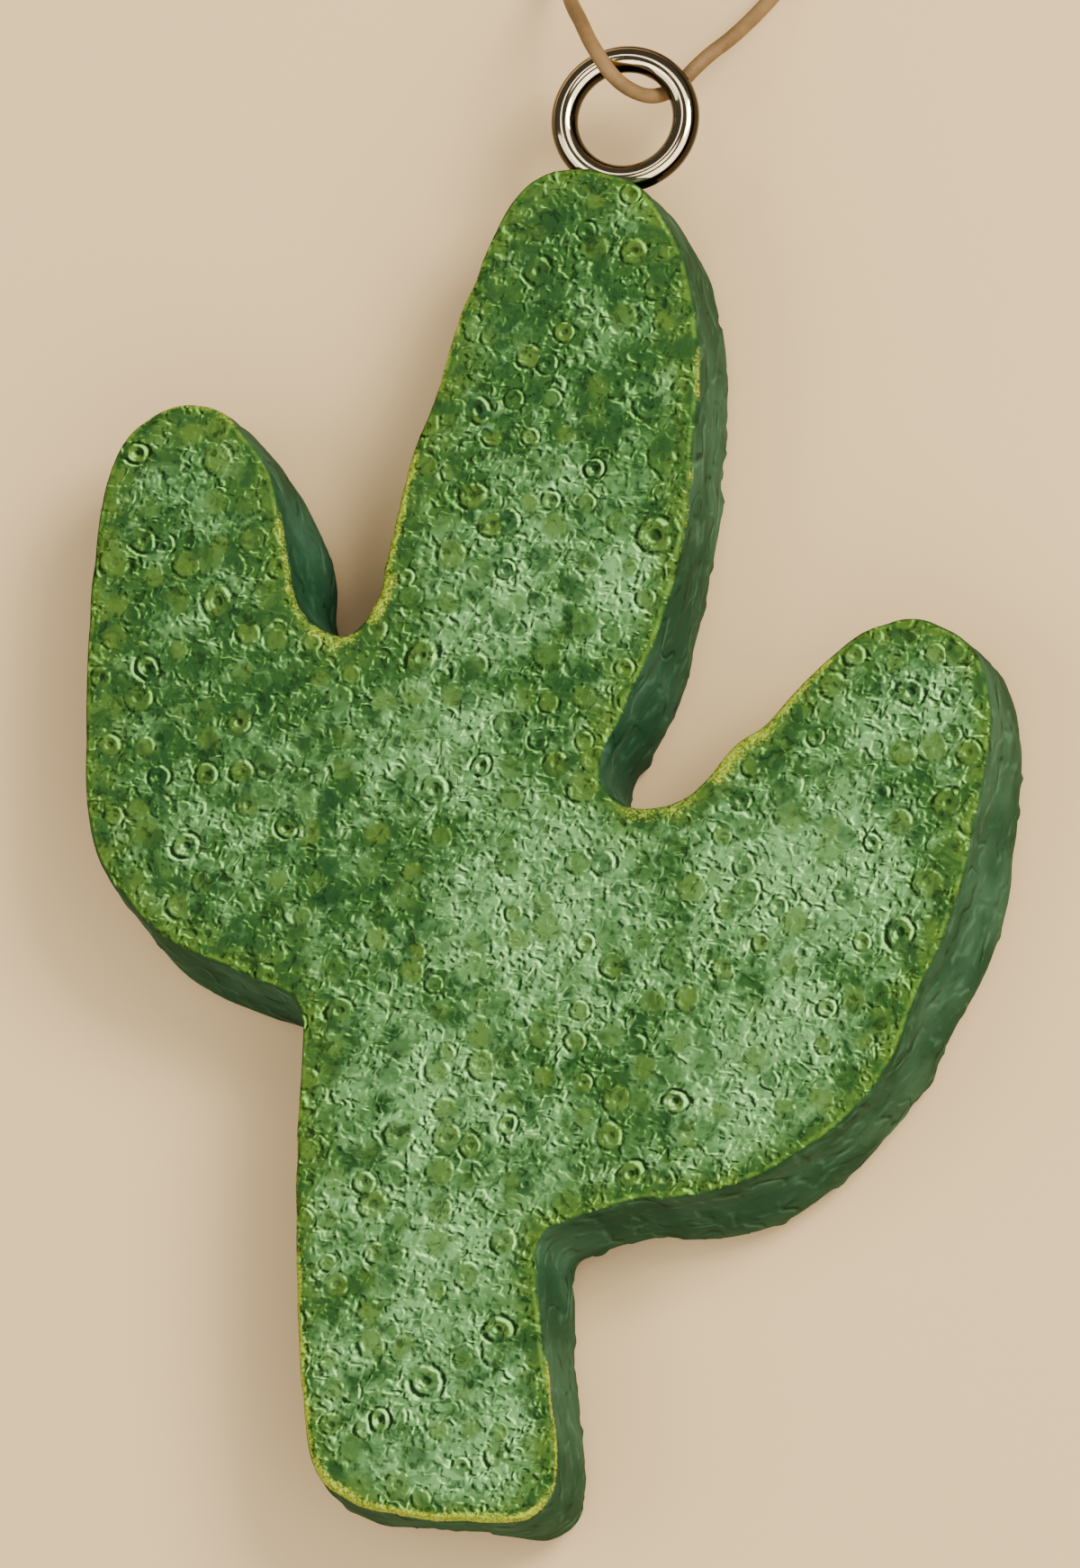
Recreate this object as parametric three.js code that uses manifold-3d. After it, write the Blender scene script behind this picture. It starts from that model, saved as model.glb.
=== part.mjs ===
// A cactus-shaped hanging ornament: one slab of fused plastic beads, lying on its back, with a
// steel ring fused into its top and a cord looped through the ring. Millimetres, +Z up, the flat
// front face upwards, +Y towards the ring. The origin is under the middle of slab and ring.

import * as THREE from 'three';
import { mergeVertices } from 'three/addons/utils/BufferGeometryUtils.js';
import Module from 'manifold-3d';

const wasm = await Module();
wasm.setup();

// ---- driving dimensions -------------------------------------------------------------------

const GAP = 0.3; // running gap left wherever two pieces touch

const SLAB_THICK = 14;
const OUTLINE_STEPS = 184; // stations round the slab's edge
const BEAD_PITCH = 5.2; // fused beads, drawn larger than life
const BEAD_JITTER = 0.37; // how far a bead strays from its place, in pitches
const BEAD_COLUMNS = 19; // the field of beads reaches past the slab on every side
const BEAD_ROWS = 30;
const FIELD_MIDDLE_Y = -6;
const BEAD_SEED = 7;
// How far beads peak beyond each flat face, which planes them flat, and how deep the creases
// between them run: shallow on the pressed front, deep on the back, which was never pressed.
const FRONT_PEAK = 0.8;
const FRONT_CREASE = 0.2;
const BACK_PEAK = 0.9;
const BACK_CREASE = 0.8;

const RING_X = 5.85;
const RING_Y = 58.15;
const RING_Z = 10.4;
const RING_MEAN_R = 5.25;
const RING_WIRE_R = 1.15;
const SEAT_BEAD_R = 1.7;
const SEAT_BEADS = 3; // beads that clasp the ring's lowest arc from behind
const SEAT_FROM = -125; // degrees round the ring, from +X
const SEAT_TO = -95;
const SEAT_OUT = 0.5; // they sit this far outside the wire's middle
const SEAT_BEHIND = 2.25; // and this far behind it
const CHANNEL_SIDES = 10;
const CHANNEL_SEGMENTS = 32;
const RING_SIDES = 12;
const RING_SEGMENTS = 40;

const CORD_R = 0.65;
const CORD_SIDES = 8;
const CORD_STEPS = 46;

const COIL_X = 10.7;
const COIL_Y = 84.5;
const COIL_TURN_R = [6.5, 7.8]; // two turns side by side
const COIL_LAYERS_Z = [0.65, 1.95]; // and two layers of them
const COIL_SEGMENTS = 28;
const COIL_SOFTNESS = 0.6; // bevel along the outermost turns, in cord radii

const KNOT_BEARING = 205; // degrees round the coil, from +X
const KNOT_R = 1.7;
const KNOT_STRETCH = 1.3; // its length over its width
const KNOT_SIDES = 12;

// ---- outline of the front face, clockwise from the crown -------------------------------------

const TRUNK_RIGHT = [
  [0.2, 53.0], [4.5, 52.9], [7.9, 51.4], [10.8, 47.3], [12.5, 43.2], [13.4, 36.5], [13.3, 31.0],
  [12.5, 21.0], [11.0, 14.0], [8.8, 8.5], [6.2, 2.5],
];
const RIGHT_CROTCH = [
  [5.5, 0.2], [6.3, -1.4], [7.9, -2.4], [10.9, -2.6], [14.1, -0.9], [16.9, 2.7], [19.3, 4.2],
  [22.7, 7.9], [26.2, 11.1],
];
const RIGHT_ARM = [
  [28.5, 12.6], [31.5, 13.3], [34.0, 12.8], [37.4, 10.3], [38.7, 7.0], [39.0, 4.0], [38.3, -1.0],
  [36.8, -9.0], [35.3, -13.8], [33.0, -19.2], [30.6, -25.3], [26.6, -30.1], [22.3, -33.0],
  [18.8, -34.8], [14.1, -36.0], [7.7, -36.8], [4.6, -37.7],
];
const STEM = [
  [2.2, -38.5], [1.4, -39.5], [1.2, -41.2], [1.4, -44.0], [2.2, -50.0], [3.1, -56.0], [3.1, -60.5],
  [1.8, -62.9], [-3.5, -63.4], [-9.5, -62.8], [-15.1, -61.3], [-17.4, -58.9], [-18.3, -55.5],
  [-19.0, -50.0], [-19.6, -40.0], [-19.8, -30.0], [-19.5, -22.5],
];
const LEFT_ARM = [
  [-19.7, -19.4], [-20.9, -17.9], [-23.3, -17.0], [-27.3, -15.2], [-31.3, -13.3], [-34.8, -10.0],
  [-37.4, -6.4], [-38.6, -2.0], [-39.0, 5.0], [-39.0, 14.0], [-38.6, 21.0], [-37.7, 27.1],
  [-35.9, 31.0], [-32.5, 33.2], [-28.7, 33.3], [-26.0, 31.0], [-23.7, 28.0], [-22.5, 23.4],
  [-21.7, 19.0], [-20.6, 15.1], [-18.4, 13.3],
];
const LEFT_CROTCH = [
  [-16.3, 12.7], [-14.7, 14.5], [-13.3, 19.5], [-11.3, 28.5], [-9.6, 33.1], [-7.4, 40.8],
  [-5.5, 45.6], [-3.2, 50.6],
];

// The edge from back to front: a height, how far it stands out from the front face's outline,
// and how far the fused beads swell and dip there, station by station.
const EDGE_PROFILE = [
  { z: 0.0, out: -1.3, swell: 0.0 },
  { z: 0.9, out: -0.1, swell: 0.2 },
  { z: 3.0, out: 0.35, swell: 0.3 },
  { z: 5.6, out: 0.3, swell: 0.25 },
  { z: 8.4, out: 0.15, swell: 0.0 },
  { z: SLAB_THICK - 0.9, out: 0.0, swell: 0.0 },
  { z: SLAB_THICK - 0.25, out: -0.3, swell: 0.0 },
  { z: SLAB_THICK, out: -0.9, swell: 0.0 },
];

// Where the wall leans out towards the back, or in at the foot: the middle of each stretch, how far
// along the edge it reaches and how far it leans.
const WALL_LEANS = [
  { x: 35, y: -16, reach: 20, lean: 1.4 },
  { x: 20, y: -34, reach: 17, lean: 1.2 },
  { x: -22, y: 20, reach: 9, lean: 1.6 },
  { x: 8.5, y: 8, reach: 9, lean: 0.8 },
  { x: -7, y: -64, reach: 14, lean: -1.4 },
];
const LEAN_WHOLE_Z = 3; // the lean is whole below this height and gone above the next one
const LEAN_NONE_Z = 12;

// ---- the cord's route from the knot, through the ring, to the coil ----------------------------

const CORD_ROUTE = [
  [-0.4, 78.7, 0.8], [-1.2, 77.3, 0.75], [-1.7, 75.7, 1.3], [-1.4, 73.7, 3.1], [-0.4, 71.3, 5.8],
  [0.6, 69.0, 8.4], [1.8, 66.9, 10.6], [3.0, 64.6, 12.2], [3.8, 63.3, 12.75], [4.7, 61.9, 12.6],
  [5.7, 60.9, 11.9], [6.9, 60.3, 10.9], [8.0, 60.3, 9.7], [9.1, 60.9, 8.6], [10.1, 61.9, 7.9],
  [11.1, 63.1, 7.6], [12.4, 64.5, 7.2], [13.8, 65.9, 6.4], [15.1, 67.6, 5.2], [16.3, 69.5, 3.8],
  [17.4, 71.5, 2.4], [18.1, 73.6, 1.2], [18.4, 75.8, 0.72], [18.5, 79.25, 0.68],
];

// ---- helpers ------------------------------------------------------------------------------

/** A repeatable random number from 0 to 1, for a whole-number place in the bead field. */
function scatter(column, row, draw) {
  const raw = Math.sin(column * 127.1 + row * 311.7 + draw * 74.7 + BEAD_SEED) * 43758.5453;
  return raw - Math.floor(raw);
}

function solidOf(geometry) {
  const bare = geometry.clone();
  bare.deleteAttribute('normal');
  bare.deleteAttribute('uv');
  const merged = mergeVertices(bare, 1e-5);
  return new wasm.Manifold(new wasm.Mesh({
    numProp: 3,
    vertProperties: Float32Array.from(merged.attributes.position.array),
    triVerts: Uint32Array.from(merged.index.array),
  }));
}

function geometryOf(solid) {
  const mesh = solid.getMesh();
  const geometry = new THREE.BufferGeometry();
  geometry.setAttribute('position', new THREE.BufferAttribute(mesh.vertProperties, 3));
  geometry.setIndex(new THREE.BufferAttribute(mesh.triVerts, 1));
  geometry.computeVertexNormals();
  return geometry;
}

function indexedGeometry(points, triangles) {
  const geometry = new THREE.BufferGeometry().setFromPoints(points);
  geometry.setIndex(triangles.flat());
  return geometry;
}

function namedMesh(name, geometry, colour, roughness, metalness) {
  const mesh = new THREE.Mesh(
    geometry,
    new THREE.MeshStandardMaterial({ color: colour, roughness, metalness }),
  );
  mesh.name = name;
  return mesh;
}

// ---- the slab -------------------------------------------------------------------------------

/** Evenly spaced stations round the front face, each with its outward direction. */
function outlineStations() {
  const landmarks = [
    ...TRUNK_RIGHT, ...RIGHT_CROTCH, ...RIGHT_ARM, ...STEM, ...LEFT_ARM, ...LEFT_CROTCH,
  ].map(([x, y]) => new THREE.Vector3(x, y, 0));
  const curve = new THREE.CatmullRomCurve3(landmarks.reverse(), true, 'centripetal');
  curve.arcLengthDivisions = 2000;
  return Array.from({ length: OUTLINE_STEPS }, (_, i) => {
    const at = curve.getPointAt(i / OUTLINE_STEPS);
    const along = curve.getTangentAt(i / OUTLINE_STEPS);
    return { at, outward: new THREE.Vector3(along.y, -along.x, 0) };
  });
}

/** How far the wall leans out at a point of the outline and a height. */
function leanAt(point, z) {
  const fade = 1 - THREE.MathUtils.smoothstep(z, LEAN_WHOLE_Z, LEAN_NONE_Z);
  return WALL_LEANS.reduce((sum, { x, y, reach, lean }) => {
    const away = Math.hypot(point.x - x, point.y - y) / reach;
    return sum + fade * lean * (1 - THREE.MathUtils.smoothstep(away, 0, 1));
  }, 0);
}

/** The slab's edge, lofted up the profile and closed by a flat cap at each end. */
function edgeLoft(stations) {
  const points = EDGE_PROFILE.flatMap(({ z, out, swell }, level) =>
    stations.map(({ at, outward }, i) => {
      const side = (i + level) % 2 === 0 ? swell : -swell;
      return at.clone().addScaledVector(outward, out + side + leanAt(at, z)).setZ(z);
    }));
  const count = stations.length;
  const triangles = [];
  for (let level = 0; level < EDGE_PROFILE.length - 1; level += 1) {
    for (let i = 0; i < count; i += 1) {
      const a = level * count + i;
      const b = level * count + (i + 1) % count;
      triangles.push([a, b, b + count], [a, b + count, a + count]);
    }
  }
  const top = (EDGE_PROFILE.length - 1) * count;
  const flat = (from) => points.slice(from, from + count).map((p) => new THREE.Vector2(p.x, p.y));
  for (const [a, b, c] of THREE.ShapeUtils.triangulateShape(flat(0), [])) {
    triangles.push([c, b, a]);
  }
  for (const [a, b, c] of THREE.ShapeUtils.triangulateShape(flat(top), [])) {
    triangles.push([top + a, top + b, top + c]);
  }
  return indexedGeometry(points, triangles);
}

/** The middle of one bead of the field, strayed a little from its place. */
function beadMiddle(column, row) {
  const stray = (draw) => (scatter(column, row, draw) - 0.5) * BEAD_JITTER;
  const rowPitch = BEAD_PITCH * Math.sqrt(0.75);
  return new THREE.Vector2(
    (column - BEAD_COLUMNS / 2 + (row % 2) / 2 + stray(1)) * BEAD_PITCH,
    (row - BEAD_ROWS / 2 + stray(2)) * rowPitch + FIELD_MIDDLE_Y,
  );
}

/** The field in plan: beads, a crease point between each three of them, and its triangles. */
function beadPlan() {
  const points = [];
  for (let row = 0; row < BEAD_ROWS; row += 1) {
    for (let column = 0; column < BEAD_COLUMNS; column += 1) {
      points.push({ at: beadMiddle(column, row), isPeak: true });
    }
  }
  const edges = new Map(); // each pair of neighbouring beads, with the crease points beside it
  const addThree = (corners) => {
    const at = new THREE.Vector2();
    corners.forEach((corner) => at.addScaledVector(points[corner].at, 1 / 3));
    points.push({ at, isPeak: false });
    corners.forEach((from, i) => {
      const to = corners[(i + 1) % 3];
      const key = `${Math.min(from, to)}_${Math.max(from, to)}`;
      edges.set(key, [...(edges.get(key) ?? []), { crease: points.length - 1, from, to }]);
    });
  };
  for (let row = 0; row < BEAD_ROWS - 1; row += 1) {
    for (let column = 0; column < BEAD_COLUMNS - 1; column += 1) {
      const near = row * BEAD_COLUMNS + column;
      const far = near + BEAD_COLUMNS;
      if (row % 2 === 0) {
        addThree([near, near + 1, far]);
        addThree([near + 1, far + 1, far]);
      } else {
        addThree([near, near + 1, far + 1]);
        addThree([near, far + 1, far]);
      }
    }
  }
  const triangles = [];
  const rim = [];
  for (const [first, second] of edges.values()) {
    if (second === undefined) {
      triangles.push([first.from, first.to, first.crease]);
      rim.push([first.from, first.to]);
    } else {
      triangles.push([first.from, second.crease, first.crease]);
      triangles.push([first.to, first.crease, second.crease]);
    }
  }
  return { points, triangles, rim };
}

/** A block wider than the slab, with the field of beads as its top and, mirrored, its bottom. */
function beadBlock() {
  const { points: plan, triangles: patch, rim } = beadPlan();
  const height = (peak, crease, draw) => ({ isPeak }, i) => (
    isPeak ? peak * (1 + 0.4 * scatter(i, 0, draw)) : -crease * (1 + 0.4 * scatter(i, 1, draw))
  );
  const frontRise = height(FRONT_PEAK, FRONT_CREASE, 3);
  const backRise = height(BACK_PEAK, BACK_CREASE, 4);
  const count = plan.length;
  const points = [
    ...plan.map((p, i) => new THREE.Vector3(p.at.x, p.at.y, SLAB_THICK + frontRise(p, i))),
    ...plan.map((p, i) => new THREE.Vector3(p.at.x, p.at.y, -backRise(p, i))),
  ];
  const triangles = [
    ...patch,
    ...patch.map(([a, b, c]) => [c + count, b + count, a + count]),
    ...rim.flatMap(([from, to]) => [[to, from, from + count], [to, from + count, to + count]]),
  ];
  return indexedGeometry(points, triangles);
}

/** Beads behind the ring's lowest arc, fused to the crown. */
function ringSeat() {
  return Array.from({ length: SEAT_BEADS }, (_, i) => {
    const share = i / (SEAT_BEADS - 1);
    const bearing = THREE.MathUtils.degToRad(THREE.MathUtils.lerp(SEAT_FROM, SEAT_TO, share));
    const geometry = new THREE.IcosahedronGeometry(SEAT_BEAD_R, 1);
    return geometry.translate(
      RING_X + (RING_MEAN_R + SEAT_OUT) * Math.cos(bearing),
      RING_Y + (RING_MEAN_R + SEAT_OUT) * Math.sin(bearing),
      RING_Z - SEAT_BEHIND,
    );
  });
}

function torus(wireRadius, sides, segments) {
  const geometry = new THREE.TorusGeometry(RING_MEAN_R, wireRadius, sides, segments);
  geometry.translate(RING_X, RING_Y, RING_Z);
  return geometry;
}

function slabGeometry() {
  let solid = solidOf(edgeLoft(outlineStations())).intersect(solidOf(beadBlock()));
  for (const bead of ringSeat()) {
    solid = solid.add(solidOf(bead));
  }
  return geometryOf(solid.subtract(solidOf(torus(RING_WIRE_R + GAP, CHANNEL_SIDES, CHANNEL_SEGMENTS))));
}

// ---- the cord -------------------------------------------------------------------------------

function strandGeometry() {
  const route = new THREE.CatmullRomCurve3(
    CORD_ROUTE.map(([x, y, z]) => new THREE.Vector3(x, y, z)),
    false,
    'centripetal',
  );
  const section = new THREE.Shape();
  section.absarc(0, 0, CORD_R, 0, 2 * Math.PI, false);
  return new THREE.ExtrudeGeometry(section, {
    steps: CORD_STEPS,
    curveSegments: CORD_SIDES / 2,
    extrudePath: route,
  });
}

/** The outer shape of the wound turns: one closed ring. */
function coilGeometry() {
  const inner = COIL_TURN_R[0] - CORD_R;
  const outer = COIL_TURN_R[1] + CORD_R;
  const top = COIL_LAYERS_Z[1] + CORD_R;
  const soft = CORD_R * COIL_SOFTNESS;
  const profile = [
    [inner, soft], [inner + soft, 0], [outer - soft, 0], [outer, soft],
    [outer, top - soft], [outer - soft, top], [inner + soft, top], [inner, top - soft], [inner, soft],
  ].map(([r, z]) => new THREE.Vector2(r, z));
  const geometry = new THREE.LatheGeometry(profile, COIL_SEGMENTS);
  geometry.rotateX(Math.PI / 2);
  geometry.translate(COIL_X, COIL_Y, 0);
  return geometry;
}

function knotGeometry() {
  const bearing = THREE.MathUtils.degToRad(KNOT_BEARING);
  const reach = COIL_TURN_R[1] + CORD_R + GAP + KNOT_R;
  const geometry = new THREE.SphereGeometry(KNOT_R, KNOT_SIDES, 8);
  geometry.scale(1, KNOT_STRETCH, 1);
  geometry.rotateZ(bearing - Math.PI);
  geometry.translate(
    COIL_X + reach * Math.cos(bearing),
    COIL_Y + reach * Math.sin(bearing),
    KNOT_R,
  );
  return geometry;
}

// ---- assembly -------------------------------------------------------------------------------

const ornament = new THREE.Group();
ornament.add(
  namedMesh('cactus_slab', slabGeometry(), 0x4f8a50, 0.35, 0.0),
  namedMesh('hanging_ring', torus(RING_WIRE_R, RING_SIDES, RING_SEGMENTS), 0xd9d2c2, 0.12, 1.0),
  namedMesh('cord_strand', strandGeometry(), 0xb08a55, 0.6, 0.0),
  namedMesh('cord_coil', coilGeometry(), 0xb08a55, 0.6, 0.0),
  namedMesh('cord_knot', knotGeometry(), 0xb08a55, 0.6, 0.0),
);

export default ornament;
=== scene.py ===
"""Visual model of a cactus-shaped bead ornament: a slab of fused beads on its back, a metal ring in
its crown and a cord looped through the ring. It is laid out as an add-on and run as a script. Sizes
are in millimetres and turn into metres as they reach a mesh."""

import math

import bpy
import numpy as np
from mathutils import Matrix, Vector, kdtree


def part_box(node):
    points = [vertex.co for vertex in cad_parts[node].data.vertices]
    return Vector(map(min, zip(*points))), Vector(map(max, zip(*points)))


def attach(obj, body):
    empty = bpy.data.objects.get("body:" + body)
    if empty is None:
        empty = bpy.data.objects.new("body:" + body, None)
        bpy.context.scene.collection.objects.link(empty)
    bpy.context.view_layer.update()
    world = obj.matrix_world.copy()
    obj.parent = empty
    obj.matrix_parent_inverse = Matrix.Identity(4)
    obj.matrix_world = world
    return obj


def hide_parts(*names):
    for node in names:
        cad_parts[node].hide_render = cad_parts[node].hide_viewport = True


bl_info = {
    "name": "Cactus Bead Ornament",
    "version": (1, 0, 0),
    "blender": (4, 5, 0),
    "location": "View3D > Sidebar > Ornament",
    "description": "Builds a hanging ornament of fused beads around its packed frame",
    "category": "Add Mesh",
}

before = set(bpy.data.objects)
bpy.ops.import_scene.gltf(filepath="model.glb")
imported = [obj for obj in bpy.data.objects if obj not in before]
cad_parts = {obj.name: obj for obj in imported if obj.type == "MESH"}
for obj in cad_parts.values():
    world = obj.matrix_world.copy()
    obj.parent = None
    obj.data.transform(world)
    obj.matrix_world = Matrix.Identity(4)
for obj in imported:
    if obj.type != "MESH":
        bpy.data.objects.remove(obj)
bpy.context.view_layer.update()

MM = 0.001
MERGE, SECTION_MERGE = 2e-6, 2e-5  # metres; points this near are one, before and after the cut

# ---- the slab's form, in millimetres ----

SLAB_THICK = 14.0
SECTION_Z = 12.4  # the wall is cut here for the outline, above the ring's channel
STATIONS = 560
OUTLINE_SOFTNESS = 0.8  # rounds off the frame's facets along the outline
BODY_BACK_Z = 1.3  # the slab between its back beads

# From back to front: a height and how far the wall stands out from the front face's outline there.
EDGE_PROFILE = (
    (BODY_BACK_Z, -0.7), (1.9, 0.0), (3.0, 0.4), (4.6, 0.45), (6.4, 0.4), (8.4, 0.25), (10.4, 0.12),
    (12.2, 0.0), (12.9, -0.02), (13.4, -0.05), (13.65, -0.1), (13.82, -0.19), (13.93, -0.32),
    (SLAB_THICK, -0.52),
)
# Where the wall leans out towards the back: the middle of the stretch, its reach and the lean.
WALL_LEANS = (
    (36.0, -12.0, 22.0, 1.5), (18.0, -35.0, 16.0, 1.3), (-22.0, 20.0, 9.0, 1.6), (8.5, 8.0, 9.0, 0.8),
    (3.0, -42.0, 8.0, 0.7), (-27.0, -17.0, 12.0, 1.0), (-7.0, -64.0, 14.0, -1.4),
)
LEAN_WHOLE_Z, LEAN_NONE_Z = 3.0, 12.0

# Heights where each starts and is whole: the pressed face, its finish, its dust of gold, and the
# walls' lumps and crumbs. Then distances from the outline, likewise.
PRESSED_Z, FRONT_Z, GOLD_Z = (13.5, 13.85), (13.45, 13.8), (13.1, 13.5)
LUMPS_Z, CRUMBS_Z = (13.4, 12.2), (7.0, 2.0)
PRESSED_DEPTH, LUMPS_DEPTH, CRUMBS_DEPTH = (0.25, 0.9), (0.9, 0.0), (1.6, 1.0)
FACE_RISE = 0.03
FACE_RIPPLES = ((0.05, 9.0, 3), (0.035, 2.6, 4))  # height, pitch and seed
LUMPS_SIZE, CRUMBS_SIZE = 0.10, 0.20

EDGE_WAVE = 0.16  # how far the outline waves in where beads melted short of the mould
EDGE_WAVE_PITCH = 5.0
RIPPLE_WAVES, RIPPLE_HEIGHT = 9, 4.0  # they seldom add up to more than that
SECTION_NEAR = 2.0  # up to here from the outline, depth is measured square to it

# ---- beads, in millimetres ----

BEAD_FLATNESS = 0.94  # height over width
BEAD_TILT = 0.6  # in radians, at most
BACK_BEAD_R, BACK_BEAD_PITCH, BACK_BEAD_INSET = 1.55, 2.75, 1.1
BACK_BEAD_FLOOR, BACK_BEAD_RISE = 0.03, 0.35  # clear of the floor by the first, at most by both
WALL_BEAD_R = 1.45
WALL_ROWS = ((1.8, 0.15, 2.5), (3.9, 0.2, 3.2))  # height, how far it stands out, spacing
WALL_BEAD_STRAY, WALL_BEAD_RISE = 0.3, 1.2  # across the wall and up it, from end to end
WALL_BEAD_OUT = 0.1  # and all of them this much further out
SCATTER_TRIES = 26000
# What varies by chance, each as its least and what chance may add.
PITCH_CHANCE = (0.82, 0.36)
BACK_SIZE_CHANCE = (0.86, 0.26)
WALL_SIZE_CHANCE = (0.7, 0.6)
WALL_SPACING_CHANCE = (0.55, 1.3)

# Beads that clasp the ring's lowest arc from behind: bearing round the ring from +X, how far outside
# the wire's middle and how far behind it, and size.
RING_SEAT_BEADS = (
    (-122, 0.0, 1.9, 0.95), (-107, -0.1, 1.9, 0.95), (-92, 0.0, 1.9, 0.95),
    (-116, 1.5, 1.1, 0.9), (-99, 1.5, 1.1, 0.9),
)

VOXEL = 0.46  # block and beads are melted together at this grain
FACE_BEADS = 0.34  # of the finish's own faint beads, to a millimetre
LIGHT_STEP = (0.20, 0.11)  # a short way towards the light, for the relief's painted lit and shaded sides
# A step towards the light for the walls' folds, whose lit and shaded sides are painted.
WALL_STEP = (0.2, 0.1, 0.3)

# What a bead that stands out left on the front. Widths are in its radii, as is the fade, which is
# where it starts to end and has ended.
CIRCLE_WIDTH, CIRCLE_DEPTH = 0.18, 0.15
DIMPLE_WIDTH, DIMPLE_DEPTH = 0.33, 0.10
CLEAR_BEAD_SQUASH = 0.86
CLEAR_BEAD_TURN = 2.4  # radians from one to the next
CLEAR_BEAD_FADE = (1.5, 2.1)
# Their places, radii and how strongly each shows.
CLEAR_BEADS = (
    (-35.0, 29.1, 1.1, 1.0), (-33.6, 10.4, 1.2, 0.9), (-27.7, 16.0, 1.6, 0.9), (-25.5, 5.5, 1.2, 0.8),
    (-29.8, -5.1, 1.3, 1.0), (-21.2, -3.8, 1.0, 0.7), (-8.5, -0.8, 1.5, 0.7), (-9.9, 10.8, 1.6, 0.8),
    (4.6, 26.7, 1.0, 1.0), (9.9, 20.8, 1.8, 1.0), (-5.5, 32.0, 1.3, 0.7), (-0.7, 44.2, 1.4, 0.7),
    (9.0, -34.0, 1.3, 1.0), (12.6, -27.9, 1.2, 1.0), (32.0, 6.7, 1.3, 0.8), (31.4, -13.9, 1.5, 1.0),
    (35.2, -2.8, 1.4, 0.7), (-2.0, -47.0, 1.3, 0.8), (-8.1, -51.3, 1.6, 0.9), (-11.9, -54.6, 1.1, 0.9),
    (-1.6, -29.6, 1.0, 0.7), (-5.9, 24.6, 1.4, 0.5), (9.0, 31.9, 1.3, 0.4), (10.4, 27.5, 1.5, 0.4),
    (-4.6, 1.3, 1.0, 0.9), (-16.2, -19.6, 1.3, 0.7), (-34.3, 21.5, 1.3, 0.6), (29.0, -6.2, 0.9, 0.8),
)

# Stretches of rim dusted with gold: the middle of each, its reach along the rim, the band's width
# and its strength.
GOLD_STRETCHES = (
    (-7.6, 39.0, 8.0, 0.35, 0.7), (-11.8, 23.5, 7.5, 0.7, 0.85), (-14.0, 16.0, 3.5, 1.1, 0.7),
    (-31.4, 33.2, 7.0, 0.35, 0.7), (-21.8, 19.0, 6.5, 0.5, 0.65), (-17.5, 12.8, 3.2, 1.1, 0.6),
    (11.0, -3.2, 4.8, 1.1, 0.55), (17.5, 2.0, 4.5, 1.2, 0.85), (22.5, 6.4, 6.0, 0.7, 0.75),
    (-19.7, -33.0, 9.0, 0.3, 0.7), (-19.0, -49.0, 12.0, 0.45, 1.0), (-16.5, -61.2, 5.0, 0.7, 1.0),
    (-10.0, -63.0, 6.0, 0.5, 1.15), (-2.0, -64.0, 6.5, 0.55, 1.2), (3.4, -55.5, 7.5, 0.24, 0.9),
    (13.4, 35.0, 3.0, 0.45, 0.7), (12.9, 24.0, 6.0, 0.3, 0.3),
)

# Where the face is frosted: the middle of each patch, its reach and its strength.
FROST_PATCHES = (
    (2.2, -10.4, 17.0, 1.0), (-8.3, -26.3, 13.0, 0.9), (23.0, -9.0, 16.0, 1.0), (-8.0, 3.4, 12.0, 0.75),
    (32.3, 5.0, 9.0, 0.8), (-7.7, -56.0, 12.0, 0.8), (2.0, 24.0, 10.0, 0.45), (7.2, 16.0, 7.0, 0.95),
    (-6.5, -40.0, 12.0, 0.9), (-22.0, 0.0, 9.0, 0.45), (18.0, -26.0, 12.0, 0.9), (-31.0, 24.0, 7.0, 0.35),
    (-4.0, 15.0, 9.0, 0.7), (22.0, -23.0, 10.0, 0.9), (-8.0, -46.5, 10.0, 0.9), (-8.0, -58.5, 12.0, 1.0),
    (-28.0, -4.0, 12.0, 0.3), (19.0, -28.0, 12.0, 1.0), (-15.0, -49.0, 8.0, 0.75),
    (-15.0, -38.0, 9.0, 0.65), (-2.0, -53.0, 8.0, 0.7), (2.0, -32.5, 8.0, 0.65),
)

# ---- ring and cord, in millimetres ----

RING_SIDES = 40
RING_PAINTED_FLANK = (0.55, 0.72)  # its painted dark reflection starts and is whole this far out from the crest, in wires

CORD_D = 1.3
CORD_ROUTE = (  # from the knot through the ring to the coil
    (1.2, 80.1, 1.4), (0.3, 79.5, 1.0), (-0.4, 78.7, 0.8), (-1.2, 77.3, 0.75), (-1.7, 75.7, 1.3),
    (-1.4, 73.7, 3.1), (-0.4, 71.3, 5.8), (0.6, 69.0, 8.4), (1.8, 66.9, 10.6), (3.0, 64.6, 12.2),
    (3.8, 63.3, 12.75), (4.7, 61.9, 12.6), (5.7, 60.9, 11.9), (6.9, 60.3, 10.9), (8.0, 60.3, 9.7),
    (9.1, 60.9, 8.6), (10.1, 61.9, 7.9), (11.1, 63.1, 7.6), (12.4, 64.5, 7.2), (13.8, 65.9, 6.4),
    (15.1, 67.6, 5.2), (16.3, 69.5, 3.8), (17.4, 71.5, 2.4), (18.1, 73.6, 1.2), (18.4, 75.8, 0.72),
    (18.5, 79.25, 0.68),
)
COIL_MIDDLE = (10.7, 84.5)
COIL_OUTER_R, COIL_INNER_R = 7.8, 6.5
COIL_LOW_Z, COIL_HIGH_Z = 0.65, 1.95
COIL_POINTS = 24  # for each turn
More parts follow.
